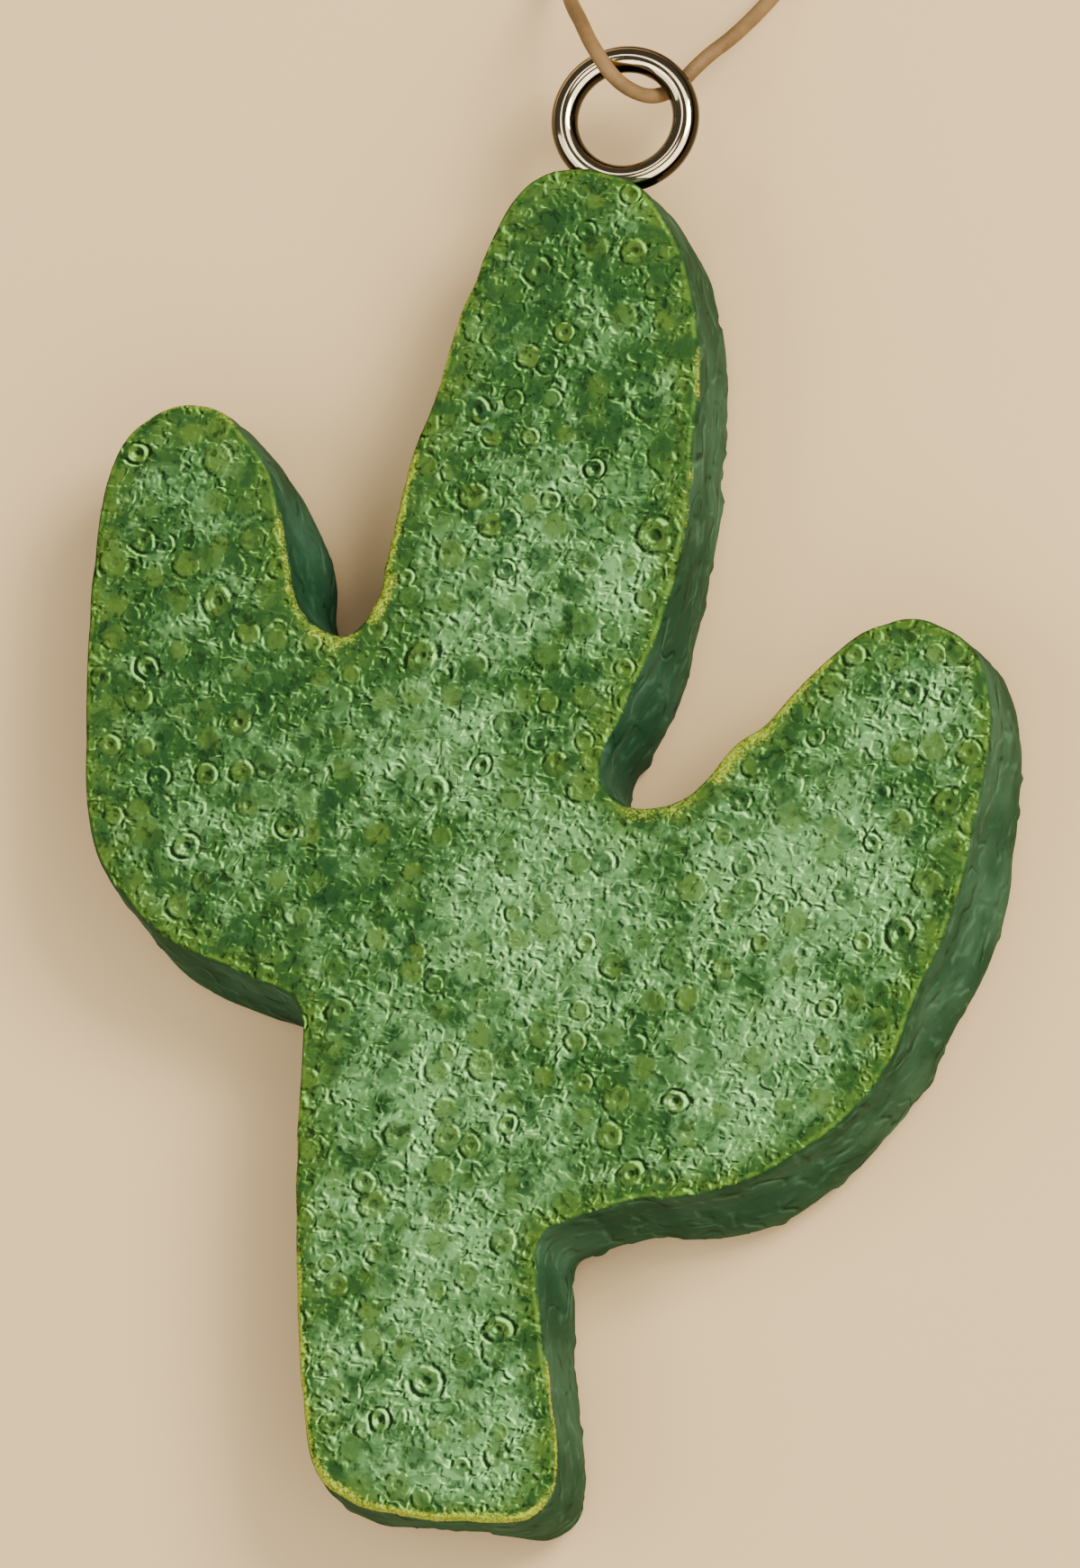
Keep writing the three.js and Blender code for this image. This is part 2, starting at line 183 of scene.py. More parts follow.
# Each stretch of the coil: turns, then the radius and the height at its end.
COIL_STRETCHES = (
    (0.85, COIL_OUTER_R, COIL_LOW_Z), (0.3, COIL_INNER_R, COIL_LOW_Z), (0.75, COIL_INNER_R, COIL_LOW_Z),
    (0.25, COIL_INNER_R, COIL_HIGH_Z), (0.75, COIL_INNER_R, COIL_HIGH_Z), (0.3, COIL_OUTER_R, COIL_HIGH_Z),
    (1.3, COIL_OUTER_R, COIL_HIGH_Z),
)
CORD_ENDING = ((2.7, 82.4, 1.75), (2.0, 81.2, 1.7), (1.3, 80.3, 1.7))
KNOT_MIDDLE = (1.23, 80.08, 1.72)
KNOT_LINE_R, KNOT_RISE, KNOT_STRAND_R = 0.34, 0.78, 0.66
KNOT_STRETCH = (0.98, 1.3, 1.25)  # of its line along X, Y and Z
KNOT_POINTS = 72
KNOT_TAILS = (
    ((0.4, 80.6, 1.2), (-0.25, 81.3, 0.85), (-0.5, 82.2, 0.66), (-0.1, 83.1, 0.66)),
    ((1.7, 79.2, 1.2), (2.2, 78.5, 0.85), (2.3, 77.7, 0.66), (1.8, 77.0, 0.66)),
)

# ---- camera ----

AIM = (0.5, -0.5, SLAB_THICK)
VIEW_HEIGHT = 131.66  # what the photograph's long side takes in, on the front face
VIEW_TILT = 17.2  # degrees from straight above
VIEW_SIDE = (0.66, -0.75)  # the camera stands off towards here
SENSOR = 36.0
CLIP = (0.05, 20.0)  # metres

# ---- floor and light ----

FLOOR_SIZE = 5.0  # metres
FLOOR_CLOUD = (0.5, 0.45, 0.38, 1.0)
# Lights: name, place, size in metres, setting that holds the power, and tint.
LIGHTS = (
    ("key_light", (0.46, 0.22, 0.60), 0.30, "key", (1.0, 0.97, 0.92)),
    ("fill_light", (-0.55, -0.10, 0.55), 0.5, "fill", (0.95, 0.98, 1.0)),
)
LIGHTS_AIM = (0.0, 0.0, 0.005)
ROOM_TINT = (1.0, 0.985, 0.96, 1.0)
# The room glows in a canopy round the camera's direction, given by the degrees where it starts and is
# whole. A level dark ring runs through it and the camera, given by the cosine's distance where it
# ends and is whole. Its mirror image is the thin dark line along the crest of the ring's wire.
ROOM_CANOPY = (50.0, 43.0)
ROOM_GAP = (0.040, 0.030)
ROOM_DIM = 0.06  # outside the canopy
ROOM_SHOWN = 0.9  # what the camera itself sees of the room


# ---- small helpers ----

def activate(piece, *others):
    """Selects only these, with the first one active."""
    bpy.ops.object.select_all(action="DESELECT")
    for each in (piece, *others):
        each.select_set(True)
    bpy.context.view_layer.objects.active = piece


def mode(kind):
    bpy.ops.object.mode_set(mode=kind)


def linked(name, data):
    """A new object in the scene."""
    piece = bpy.data.objects.new(name, data)
    bpy.context.scene.collection.objects.link(piece)
    return piece


def added(name):
    """The object that the last operator added, named."""
    piece = bpy.context.view_layer.objects.active
    piece.name = piece.data.name = name
    return piece


def modify(piece, kind, **settings):
    """Adds a modifier and applies it."""
    activate(piece)
    bpy.ops.object.modifier_add(type=kind)
    modifier = piece.modifiers[-1]
    for key, value in settings.items():
        setattr(modifier, key, value)
    bpy.ops.object.modifier_apply(modifier=modifier.name)


def places(piece):
    """Vertex places in millimetres."""
    flat = np.empty(len(piece.data.vertices) * 3, np.float32)
    piece.data.vertices.foreach_get("co", flat)
    return flat.reshape(-1, 3).astype(float) / MM


def set_places(piece, points):
    piece.data.vertices.foreach_set("co", (np.asarray(points) * MM).astype(np.float32).ravel())
    piece.data.update()


def smoothstep(x, low, high):
    t = np.clip((np.asarray(x, float) - low) / (high - low), 0.0, 1.0)
    return t * t * (3.0 - 2.0 * t)


def by_chance(rng, span):
    """The span's least, and a random share of what chance may add."""
    least, more = span
    return least + more * rng.random()


def plan_tree(points):
    """A search tree of places in plan."""
    tree = kdtree.KDTree(len(points))
    for i, (x, y) in enumerate(points):
        tree.insert((x, y, 0.0), i)
    tree.balance()
    return tree


def nearest(tree, points):
    """For each point in plan, the number of the tree's nearest place."""
    return np.array([tree.find((x, y, 0.0))[1] for x, y in points])


def through(points, per_span):
    """A centripetal Catmull-Rom curve through open points, sampled evenly in each span."""
    p = np.asarray(points, float)
    p = np.vstack((2 * p[0] - p[1], p, 2 * p[-1] - p[-2]))
    # Which knots each round of blending runs between.
    rounds = (((0, 1), (1, 2), (2, 3)), ((0, 2), (1, 3)), ((1, 2),))
    line = []
    for i in range(1, len(p) - 2):
        four = p[i - 1:i + 3]
        apart = np.linalg.norm(np.diff(four, axis=0), axis=1) ** 0.5
        knots = np.concatenate(([0.0], np.cumsum(np.maximum(apart, 1e-6))))
        for t in np.linspace(knots[1], knots[2], per_span, endpoint=False):
            row = four
            for spans in rounds:
                row = [
                    ((knots[b] - t) * row[k] + (t - knots[a]) * row[k + 1]) / (knots[b] - knots[a])
                    for k, (a, b) in enumerate(spans)
                ]
            line.append(row[0])
    line.append(p[-2])
    return np.array(line)


def linear(level):
    """A screen's level of 0 to 255 as the linear one that shaders take."""
    level /= 255.0
    return level / 12.92 if level <= 0.04045 else ((level + 0.055) / 1.055) ** 2.4


# ---- shader expressions ----

def arithmetic(operation, swapped=False):
    def method(wire, other):
        values = (other, wire) if swapped else (wire, other)
        return wire.finish.maths(operation, *values)
    return method


class Wire:
    """An output socket in a finish; arithmetic on it adds Math nodes."""

    def __init__(self, finish, socket):
        self.finish, self.socket = finish, socket

    __add__, __radd__ = arithmetic("ADD"), arithmetic("ADD", swapped=True)
    __sub__, __rsub__ = arithmetic("SUBTRACT"), arithmetic("SUBTRACT", swapped=True)
    __mul__, __rmul__ = arithmetic("MULTIPLY"), arithmetic("MULTIPLY", swapped=True)

    def __abs__(self):
        return self.finish.maths("ABSOLUTE", self)

    def clamp(self, low, high):
        return self.finish.maths("MINIMUM", self.finish.maths("MAXIMUM", self, low), high)

    def ramp(self, low, high):
        """0 at low, 1 at high, smooth between; high may be the lower number."""
        return self.finish.add(
            "ShaderNodeMapRange", {"interpolation_type": "SMOOTHSTEP"}, "Result",
            {"Value": self, "From Min": low, "From Max": high},
        )


class Wiring:
    """A node tree being wired up: a material's or the room's."""

    def __init__(self, tree, shader):
        self.nodes, self.links = tree.nodes, tree.links
        self.shader = self.nodes[shader]

    def add(self, kind, settings, output, inputs):
        """Adds a node: its settings, the output that is wanted, and its sockets' values or wires."""
        node = self.nodes.new(kind)
        for key, value in settings.items():
            setattr(node, key, value)
        for key, value in inputs.items():
            self.plug(value, node.inputs[key])
        return Wire(self, node.outputs[output])

    def plug(self, value, socket):
        """Links a wire to a socket, or sets the socket to a value."""
        if isinstance(value, Wire):
            self.links.new(value.socket, socket)
        else:
            socket.default_value = value

    def maths(self, operation, *values):
        return self.add("ShaderNodeMath", {"operation": operation}, 0, dict(enumerate(values)))

    def vectors(self, operation, *values, output=0):
        return self.add(
            "ShaderNodeVectorMath", {"operation": operation}, output, dict(enumerate(values))
        )

    def place(self, scale=(1.0, 1.0, 1.0)):
        """Object coordinates in millimetres, stretched by scale."""
        source = self.add("ShaderNodeTexCoord", {}, "Object", {})
        return self.add(
            "ShaderNodeMapping", {}, 0,
            {"Vector": source, "Scale": tuple(s / MM for s in scale)},
        )

    def level_length(self, vector):
        """A vector's length in plan."""
        return self.vectors("LENGTH", self.vectors("MULTIPLY", vector, (1, 1, 0)), output="Value")

    def attribute(self, name, output="Fac"):
        return self.add("ShaderNodeAttribute", {"attribute_name": name}, output, {})

    def noise(self, place, scale, detail=2.0, roughness=0.5, distortion=0.0, output="Fac"):
        return self.add(
            "ShaderNodeTexNoise", {}, output,
            {"Vector": place, "Scale": scale, "Detail": detail, "Roughness": roughness,
             "Distortion": distortion},
        )

    def mix(self, factor, first, second):
        """Mixes two colours."""
        return self.add(
            "ShaderNodeMix", {"data_type": "RGBA"}, 2, {0: factor, 6: first, 7: second}
        )

    def warp(self, place, amount, scale):
        """Moves a place about by a noise."""
        sway = self.vectors("SUBTRACT", self.noise(place, scale, 1.0, output="Color"), (0.5, 0.5, 0.5))
        return self.vectors("MULTIPLY_ADD", sway, (amount, amount, amount), place)

    def bump(self, height, depth, strength=1.0):
        """A relief of that depth in millimetres."""
        return self.add(
            "ShaderNodeBump", {}, "Normal",
            {"Height": height, "Distance": depth * MM, "Strength": strength},
        )

    def feed(self, **sockets):
        """Feeds the shader; names are written with _ for a space."""
        for name, value in sockets.items():
            self.plug(value, self.shader.inputs[name.replace("_", " ")])


class Finish(Wiring):
    """A procedural material being wired up."""

    def __init__(self, name):
        self.material = bpy.data.materials.new(name)
        self.material.use_nodes = True
        super().__init__(self.material.node_tree, "Principled BSDF")

    def on(self, piece):
        piece.data.materials.append(self.material)


# ---- the slab ----

def smooth_round(values, step):
    """Gaussian smoothing round a closed line without shrinking it."""
    count = len(values)
    away = np.minimum(np.arange(count), count - np.arange(count)) * step
    weights = np.exp(-0.5 * (away / OUTLINE_SOFTNESS) ** 2)
    spectrum = np.fft.rfft(weights / weights.sum())[:, None]

    def blur(v):
        return np.fft.irfft(np.fft.rfft(v, axis=0) * spectrum, count, axis=0)

    soft = blur(values)
    return soft + blur(values - soft)


def section():
    """The wall of a copy of the slab's CAD node, cut level: a closed line of places in plan."""
    guide = linked("outline_guide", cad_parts["cactus_slab"].data.copy())
    activate(guide)
    mode("EDIT")
    bpy.ops.mesh.select_all(action="SELECT")
    bpy.ops.mesh.remove_doubles(threshold=MERGE)
    bpy.ops.mesh.bisect(
        plane_co=(0, 0, SECTION_Z * MM), plane_no=(0, 0, 1), clear_inner=True, clear_outer=True
    )
    bpy.ops.mesh.select_all(action="SELECT")
    bpy.ops.mesh.remove_doubles(threshold=SECTION_MERGE)
    mode("OBJECT")
    points = places(guide)[:, :2]
    beside = {}
    for edge in guide.data.edges:
        a, b = edge.vertices
        beside.setdefault(a, []).append(b)
        beside.setdefault(b, []).append(a)
    bpy.data.objects.remove(guide)
    loop = [0, beside[0][0]]
    while True:
        following = next(v for v in beside[loop[-1]] if v != loop[-2])
        if following == loop[0]:
            return points[loop]
        loop.append(following)


def outline():
    """Stations round the slab, anticlockwise, and their outward directions."""
    line = section()
    x, y = line.T
    if np.dot(x, np.roll(y, -1)) < np.dot(y, np.roll(x, -1)):
        line = line[::-1]
    closed = np.vstack((line, line[:1]))
    along = np.concatenate(([0.0], np.cumsum(np.linalg.norm(np.diff(closed, axis=0), axis=1))))
    at = np.linspace(0.0, along[-1], STATIONS, endpoint=False)
    even = np.column_stack([np.interp(at, along, closed[:, k]) for k in (0, 1)])
    even = smooth_round(even, along[-1] / STATIONS)
    tangent = np.roll(even, -1, axis=0) - np.roll(even, 1, axis=0)
    tangent /= np.linalg.norm(tangent, axis=1)[:, None]
    outward = np.column_stack((tangent[:, 1], -tangent[:, 0]))
    wave = EDGE_WAVE * ripple(even[:, 0], even[:, 1], EDGE_WAVE_PITCH, 8)
    return even + outward * np.minimum(wave, 0.0)[:, None], outward


def lean(points, z):
    total = np.zeros(len(points))
    fade = 1.0 - smoothstep(z, LEAN_WHOLE_Z, LEAN_NONE_Z)
    for x, y, reach, most in WALL_LEANS:
        away = np.hypot(points[:, 0] - x, points[:, 1] - y) / reach
        total += fade * most * (1.0 - smoothstep(away, 0.0, 1.0))
    return total


class Rim:
    """Answers how far a point lies inside the slab's outline."""

    def __init__(self, stations, outward):
        self.stations, self.outward = stations, outward
        self.tree = plan_tree(stations)

    def outwards(self, points):
        """The outline's outward direction beside each point."""
        return self.outward[nearest(self.tree, points)]

    def depth(self, points):
        """Distance inwards from the outline, for each point."""
        beside = nearest(self.tree, points)
        gap = self.stations[beside] - points
        inward = (gap * self.outward[beside]).sum(axis=1)
        straight = np.linalg.norm(gap, axis=1)
        return np.where(straight > SECTION_NEAR, np.sign(inward) * straight, inward)


def scattered(rim, pitch, inset, rng):
    """Places inside the outline, no two nearer than a pitch that varies a little."""
    low, high = rim.stations.min(axis=0), rim.stations.max(axis=0)
    tries = low + (high - low) * rng.random((SCATTER_TRIES, 2))
    tries = tries[rim.depth(tries) > inset]
    least, more = PITCH_CHANCE
    wants = pitch * (least + more * rng.random(len(tries)))
    cells, found = {}, []
    for (x, y), want in zip(tries, wants):
        column, row = int(x // pitch), int(y // pitch)
        near = (
            q for i in range(column - 2, column + 3) for j in range(row - 2, row + 3)
            for q in cells.get((i, j), ())
        )
        if all((q[0] - x) ** 2 + (q[1] - y) ** 2 > want * want for q in near):
            found.append((x, y))
            cells.setdefault((column, row), []).append((x, y))
    return np.array(found)


def raised(body, ring):
    """Extrudes the top face and returns the vertices above those of the ring, in its order."""
    mode("EDIT")
    bpy.ops.mesh.extrude_region_move(TRANSFORM_OT_translate={"value": (0, 0, 0.001)})
    mode("OBJECT")
    top = {v.index for v in body.data.vertices if v.select}
    above = {}
    for edge in body.data.edges:
        low, high = edge.vertices
        if (low in top) != (high in top):
            low, high = (high, low) if low in top else (low, high)
            above[low] = high
    return np.array([above[v] for v in ring])


def slab_body(stations, outward):
    """The moulded block, extruded up its edge profile from a cut-out base."""
    bpy.ops.mesh.primitive_circle_add(vertices=STATIONS, radius=0.03, fill_type="NGON")
    body = added("bead_slab")
    x, y, _ = places(body).T
    ring = np.argsort(np.arctan2(y, x))
    for z, out in EDGE_PROFILE:
        if z > BODY_BACK_Z:
            ring = raised(body, ring)
        points = places(body)
        here = stations + outward * (out + lean(stations, z))[:, None]
        points[ring] = np.column_stack((here, np.full(STATIONS, z)))
        set_places(body, points)
    return body


def bead(name, radius):
    """One bead, modelled once: an icosphere pressed a little flat."""
    bpy.ops.mesh.primitive_ico_sphere_add(subdivisions=2, radius=radius * MM)
    made = added(name)
    mode("EDIT")
    bpy.ops.mesh.select_all(action="SELECT")
    bpy.ops.transform.resize(value=(1.0, 1.0, BEAD_FLATNESS))
    mode("OBJECT")
    return made


def copies(model, spots, rng):
    """Copies of one bead, each turned and sized by chance, at spots of x, y, z, scale."""
    made = []
    for x, y, z, scale in spots:
        turn = Matrix.Rotation(rng.random() * math.tau, 4, "Z")
        tilt = Matrix.Rotation(rng.random() * BEAD_TILT, 4, "X")
        place = Matrix.Translation(Vector((x, y, z)) * MM)
        mesh = model.data.copy()
        mesh.transform(place @ (turn @ tilt) @ Matrix.Scale(scale, 4))
        made.append(linked("bead", mesh))
    return made


def back_spots(rim, rng):
    """Beads over the back, none lower than the floor."""
    spots = []
    tries = scattered(rim, BACK_BEAD_PITCH, BACK_BEAD_INSET, rng)
    leans = np.minimum(lean(tries, LEAN_WHOLE_Z), 0.0)
    for x, y in tries[rim.depth(tries) > BACK_BEAD_INSET - 1.5 * leans]:
        scale = by_chance(rng, BACK_SIZE_CHANCE)
        z = BACK_BEAD_R * scale + BACK_BEAD_FLOOR + BACK_BEAD_RISE * rng.random() ** 2
        spots.append((x, y, z, scale))
    return spots


def wall_spots(stations, outward, rng):
    """Rows of beads that show along the rear half of the wall."""
    spots = []
    step = np.linalg.norm(stations[1] - stations[0])
    for height, out, spacing in WALL_ROWS:
        at = rng.random() * spacing
        while at < len(stations) * step:
            i = int(at / step) % len(stations)
            z = height + WALL_BEAD_RISE * (rng.random() - 0.5)
            scale = by_chance(rng, WALL_SIZE_CHANCE)
            proud = out + WALL_BEAD_STRAY * (rng.random() - 0.5)
            back = WALL_BEAD_R * scale - proud
            wall = lean(stations[i:i + 1], z)[0] + WALL_BEAD_OUT
            x, y = stations[i] + outward[i] * (wall - back)
            spots.append((x, y, max(z, WALL_BEAD_R * scale), scale))
            least, more = WALL_SPACING_CHANCE
            at += spacing * (least + more * rng.random() ** 1.5)
    return spots


def ring_seat_spots(low, high):
    """Beads that clasp the ring's lowest arc from behind."""
    middle = (low + high) / 2 / MM
    reach = (high.x - low.x) / 2 / MM - (high.z - low.z) / 2 / MM
    spots = []
    for bearing, out, behind, scale in RING_SEAT_BEADS:
        angle = math.radians(bearing)
        x = middle.x + (reach + out) * math.cos(angle)
        y = middle.y + (reach + out) * math.sin(angle)
        spots.append((x, y, middle.z - behind, scale))
    return spots


def ripple(x, y, pitch, seed):
    """A cheap smooth unevenness, mostly from -1 to 1: a few crossed waves."""
    rng = np.random.default_rng(seed)
    total = np.zeros_like(x)
    for _ in range(RIPPLE_WAVES):
        angle, phase = rng.random(2) * math.tau
        length = pitch * (0.6 + 0.9 * rng.random())
        total += np.sin((x * math.cos(angle) + y * math.sin(angle)) * math.tau / length + phase)
    return total / RIPPLE_HEIGHT


def clear_beads(points, step=(0.0, 0.0)):
    """For each point: its place on the nearest clear bead, in that bead's radii and a step along,
    how strongly the bead shows there, and how near the bead is, from 0 to 1."""
    beads = np.array(CLEAR_BEADS)
    own = nearest(plan_tree(beads[:, :2]), points[:, :2])
    bearing = own * CLEAR_BEAD_TURN
    x, y = (points[:, :2] + np.array(step) - beads[own, :2]).T
    radius = beads[own, 2]
    u = (x * np.cos(bearing) + y * np.sin(bearing)) / radius
    v = (y * np.cos(bearing) - x * np.sin(bearing)) / (radius * CLEAR_BEAD_SQUASH)
    near = 1.0 - smoothstep(np.hypot(u, v), *CLEAR_BEAD_FADE)
    return np.column_stack((u, v, np.zeros_like(u))), beads[own, 3] * near, near


def press_face(slab, rim, relief):
    """Presses the clear beads' circles and dimples into the front and makes face and walls uneven."""
    points = places(slab)
    x, y, z = points.T
    depth = rim.depth(points[:, :2])
    at, mark, _ = clear_beads(points)
    reach = np.hypot(at[:, 0], at[:, 1])
    circle = np.exp(-(((reach - 1.0) / CIRCLE_WIDTH) ** 2))
    dimple = np.exp(-((reach / DIMPLE_WIDTH) ** 2))
    uneven = FACE_RISE
    for height, pitch, seed in FACE_RIPPLES:
        uneven = uneven + height * ripple(x, y, pitch, seed)
    sink = uneven - mark * (CIRCLE_DEPTH * circle + DIMPLE_DEPTH * dimple)
    pressed = smoothstep(z, *PRESSED_Z) * smoothstep(depth, *PRESSED_DEPTH)
    points[:, 2] = np.minimum(z + pressed * sink * relief, SLAB_THICK)

    # The wall is uneven too, where the mould's side let the melt slump.
    beside = np.abs(depth)
    lumps = smoothstep(beside, *LUMPS_DEPTH) * smoothstep(z, *LUMPS_Z)
    push = lumps * LUMPS_SIZE * ripple(x + y * 0.4, z * 1.6 + y * 0.8, 6.0, 5)
    crumbs = ripple(x + z * 0.5, y + z * 0.6, 1.5, 9)
    crumbs *= np.maximum(ripple(x, y - z * 0.4, 3.4, 10), 0.0)
    push += CRUMBS_SIZE * crumbs * smoothstep(z, *CRUMBS_Z) * smoothstep(beside, *CRUMBS_DEPTH)
    points[:, :2] += rim.outwards(points[:, :2]) * push[:, None]
    set_places(slab, points)


def keep(piece, **layers):
    """Stores numbers or vectors at the vertices, under each name."""
    for name, values in layers.items():
        kind, field = ("FLOAT", "value") if values.ndim == 1 else ("FLOAT_VECTOR", "vector")
        layer = piece.data.attributes.new(name, kind, "POINT")
        layer.data.foreach_set(field, values.astype(np.float32).ravel())


def mark_slab(slab, rim):
    """Stores, at each vertex, what its finish reads: beads, front, depth, gold and frost."""
    points = places(slab)
    x, y, z = points.T
    depth = rim.depth(points[:, :2])
    at, mark, near = clear_beads(points)
    gold = np.zeros(len(points))
    for gx, gy, length, width, strength in GOLD_STRETCHES:
        along = 1.0 - smoothstep(np.hypot(x - gx, y - gy) / length, 0.55, 1.0)
        across = 1.0 - smoothstep(depth, width * 0.6, width * 1.7)
        gold = np.maximum(gold, strength * along * across)
    frosting = np.zeros(len(points))
    for fx, fy, span, strength in FROST_PATCHES:
        patch = 1.0 - smoothstep(np.hypot(x - fx, y - fy) / span, 0.0, 1.0)
        frosting = np.maximum(frosting, strength * patch)
    keep(
        slab, bead=at, bead_lit=clear_beads(points, LIGHT_STEP)[0], bead_mark=mark, bead_near=near,
        front=smoothstep(z, *FRONT_Z), inside=depth, gold=gold * smoothstep(z, *GOLD_Z),
        frosting=frosting,
    )


class SlabFinish(Finish):
    """Melted green plastic: frosted and wormy on the pressed face, satin and darker on the walls."""

    def __init__(self, colours):
        super().__init__("melted_green_beads")
        self.colours = colours
        self.here = self.place()
        self.breaks = self.noise(self.here, 0.55, 2.0, 0.6)
        self.blotches = self.noise(self.here, 0.33, 2.0, 0.6, 0.6)
        self.patches = self.noise(self.here, 0.12, 2.0, 0.55)
        self.mottle = self.noise(self.here, 0.42, 3.0, 0.62, 0.8)
        self.fine = self.noise(self.here, 4.2, 2.0, 0.6)
        self.inside = self.attribute("inside")
        self.frosting = self.attribute("frosting")
        front = self.attribute("front")
        face, face_height = self.face()
        wall, wall_height = self.walls()
        dust, dust_tint = self.gold_dust()
        height = face_height * front + wall_height * (1.0 - front)
        self.feed(
            Base_Color=self.mix(dust * 0.88, self.mix(front, wall, face), dust_tint),
            Roughness=0.5 - dust * 0.12,
            Metallic=dust * 0.3,
            Normal=self.bump(height, 0.15),
            Coat_Weight=0.1 - front * 0.08 + front * self.inside.ramp(0.6, 1.4) * 0.14,
            Coat_Roughness=0.25,
            Specular_IOR_Level=0.0,
        )

    def folds(self, step):
        """Height of the face's worm-like ridges and crumbs, a step along from here."""
        here = self.vectors("ADD", self.here, step)
        curly = self.warp(here, 1.3, 0.75)
        worm = abs(self.noise(curly, 0.66, 1.0, distortion=0.4) - 0.5).ramp(0.15, 0.0)
        vein = abs(self.noise(curly, 1.05, 1.0, distortion=0.3) - 0.5).ramp(0.17, 0.0)
        crumbly = self.breaks.ramp(0.40, 0.60)
        grit = self.noise(here, 1.5, 1.0)
        return worm * crumbly * 0.9 + vein * (1.0 - crumbly * 0.5) * 0.85 + grit * 1.1

    def bead_shape(self, reach, mark, hole):
        """The circle, the dimple and the height that a bead left, at a reach from its middle."""
        gaps = self.mottle.ramp(0.36, 0.60)
        ragged = reach + (self.breaks - 0.5) * 0.5
        circle = abs(ragged - 1.0).ramp(0.22, 0.0) * mark * gaps
        lip_and_painted_edge_light = abs(ragged - 0.68).ramp(0.28, 0.0) * mark * gaps
        dimple_and_painted_shade = ragged.ramp(0.40, 0.08) * hole
        return circle, dimple_and_painted_shade, lip_and_painted_edge_light * 0.8 - circle * 1.2 - dimple_and_painted_shade * 1.1

    def bead_layer(self, away, lit_away, per_radius, mark, hole):
        """Circles, dimples, height, the fall in height towards the light for the painted light and shade,
        and the reach from the middle.
        """
        reach = self.level_length(away) * per_radius
        circle, dimple_and_painted_shade, height = self.bead_shape(reach, mark, hole)
        lit_height = self.bead_shape(self.level_length(lit_away) * per_radius, mark, hole)[2]
        return (circle, dimple_and_painted_shade, height, height - lit_height), reach

    def beads(self):
        """All the face's circles, dimples, height, fall towards the light for painted light and shade,
        discs and their tone.
        """
        near = self.attribute("bead_near").ramp(0.1, 0.9)
        apart = 1.0 - near
        # Faint beads are a scatter of the finish's own.
        cell = {"Vector": self.here, "Scale": FACE_BEADS, "Randomness": 0.72}
        middle, chance = (
            self.add("ShaderNodeTexVoronoi", {"voronoi_dimensions": "2D"}, output, cell)
            for output in ("Position", "Color")
        )
        tone, size, shows = (
            self.add("ShaderNodeSeparateColor", {}, channel, {"Color": chance})
            for channel in ("Red", "Green", "Blue")
        )
        away = self.vectors("SUBTRACT", self.here, middle)
        faint, faint_reach = self.bead_layer(
            away, self.vectors("ADD", away, (*LIGHT_STEP, 0.0)), 1.2 - size * 0.52,
            shows.ramp(0.2, 0.95) * 0.5 * apart, shows.ramp(0.75, 0.9) * 0.45 * apart,
        )
        # Clear beads have their places stored at the vertices.
        mark = self.attribute("bead_mark")
        clear, clear_reach = self.bead_layer(
            self.attribute("bead", "Vector"), self.attribute("bead_lit", "Vector"), 1.0, mark, mark
        )
        ragged = self.breaks - 0.5
        disc = self.maths(
            "MAXIMUM",
            (faint_reach + ragged * 0.6).ramp(1.22, 0.6) * shows.ramp(0.10, 0.45) * apart,
            (clear_reach + ragged * 0.4).ramp(1.2, 0.6) * near,
        )
        return (*(one + other for one, other in zip(faint, clear)), disc, tone)

    def face(self):
        """Colour and height of the pressed face."""
        c = self.colours
        circle, dimple_and_painted_shade, bead_height, bead_painted_light, disc, tone = self.beads()
        dense = (
            self.frosting * 0.75 + self.patches.ramp(0.36, 0.6) * 0.45
            + self.blotches.ramp(0.42, 0.6) * 0.35 - 0.1
        ).clamp(0.34, 1.0)
        busy = (0.38 + dense * 0.3) * (0.55 + self.mottle.ramp(0.38, 0.60) * 0.7)
        busy = busy * (1.0 - disc * 0.65)
        ridge = self.folds((0.0, 0.0, 0.0))
        # The relief's fall towards the light: it paints the lit sides light and the other sides dark.
        painted_relief_light = (ridge - self.folds((*LIGHT_STEP, 0.0))) * busy * 0.8 + bead_painted_light * 0.65
        pit_and_painted_shade = self.noise(self.here, 0.95, 2.0, 0.6, 0.5).ramp(0.56, 0.70)
        frost = (
            self.frosting * 0.95 + self.patches.ramp(0.40, 0.62) * 0.2 + (self.blotches - 0.5) * 1.8
            + (self.mottle - 0.5) * 1.4 + (ridge - 0.85) * 0.6 * dense - 0.14
        ).clamp(0.0, 1.0) * self.inside.ramp(0.6, 3.0)
        sunk = self.maths(
            "MAXIMUM", tone.ramp(0.25, 0.05) * disc * 0.7, self.mottle.ramp(0.50, 0.34) * 0.6
        )
        leafy = tone.ramp(0.15, 0.75) * disc * (0.6 + self.breaks * 0.5)
        leafy_rim = self.inside.ramp(5.0, 0.2) * (0.12 + self.mottle.ramp(0.40, 0.60) * 0.8)
        # Painted highlight along the face's edge.
        painted_edge_highlight = abs(self.inside - 0.42).ramp(0.3, 0.0) * self.breaks.ramp(0.40, 0.62)
        # Colour of the painted highlights, paler where the face is frosted.
        painted_highlight = self.mix(self.frosting * 0.6 + frost * 0.6, c.painted_leafy_highlight[:], c.painted_frosted_highlight[:])
        colour = c.face[:]
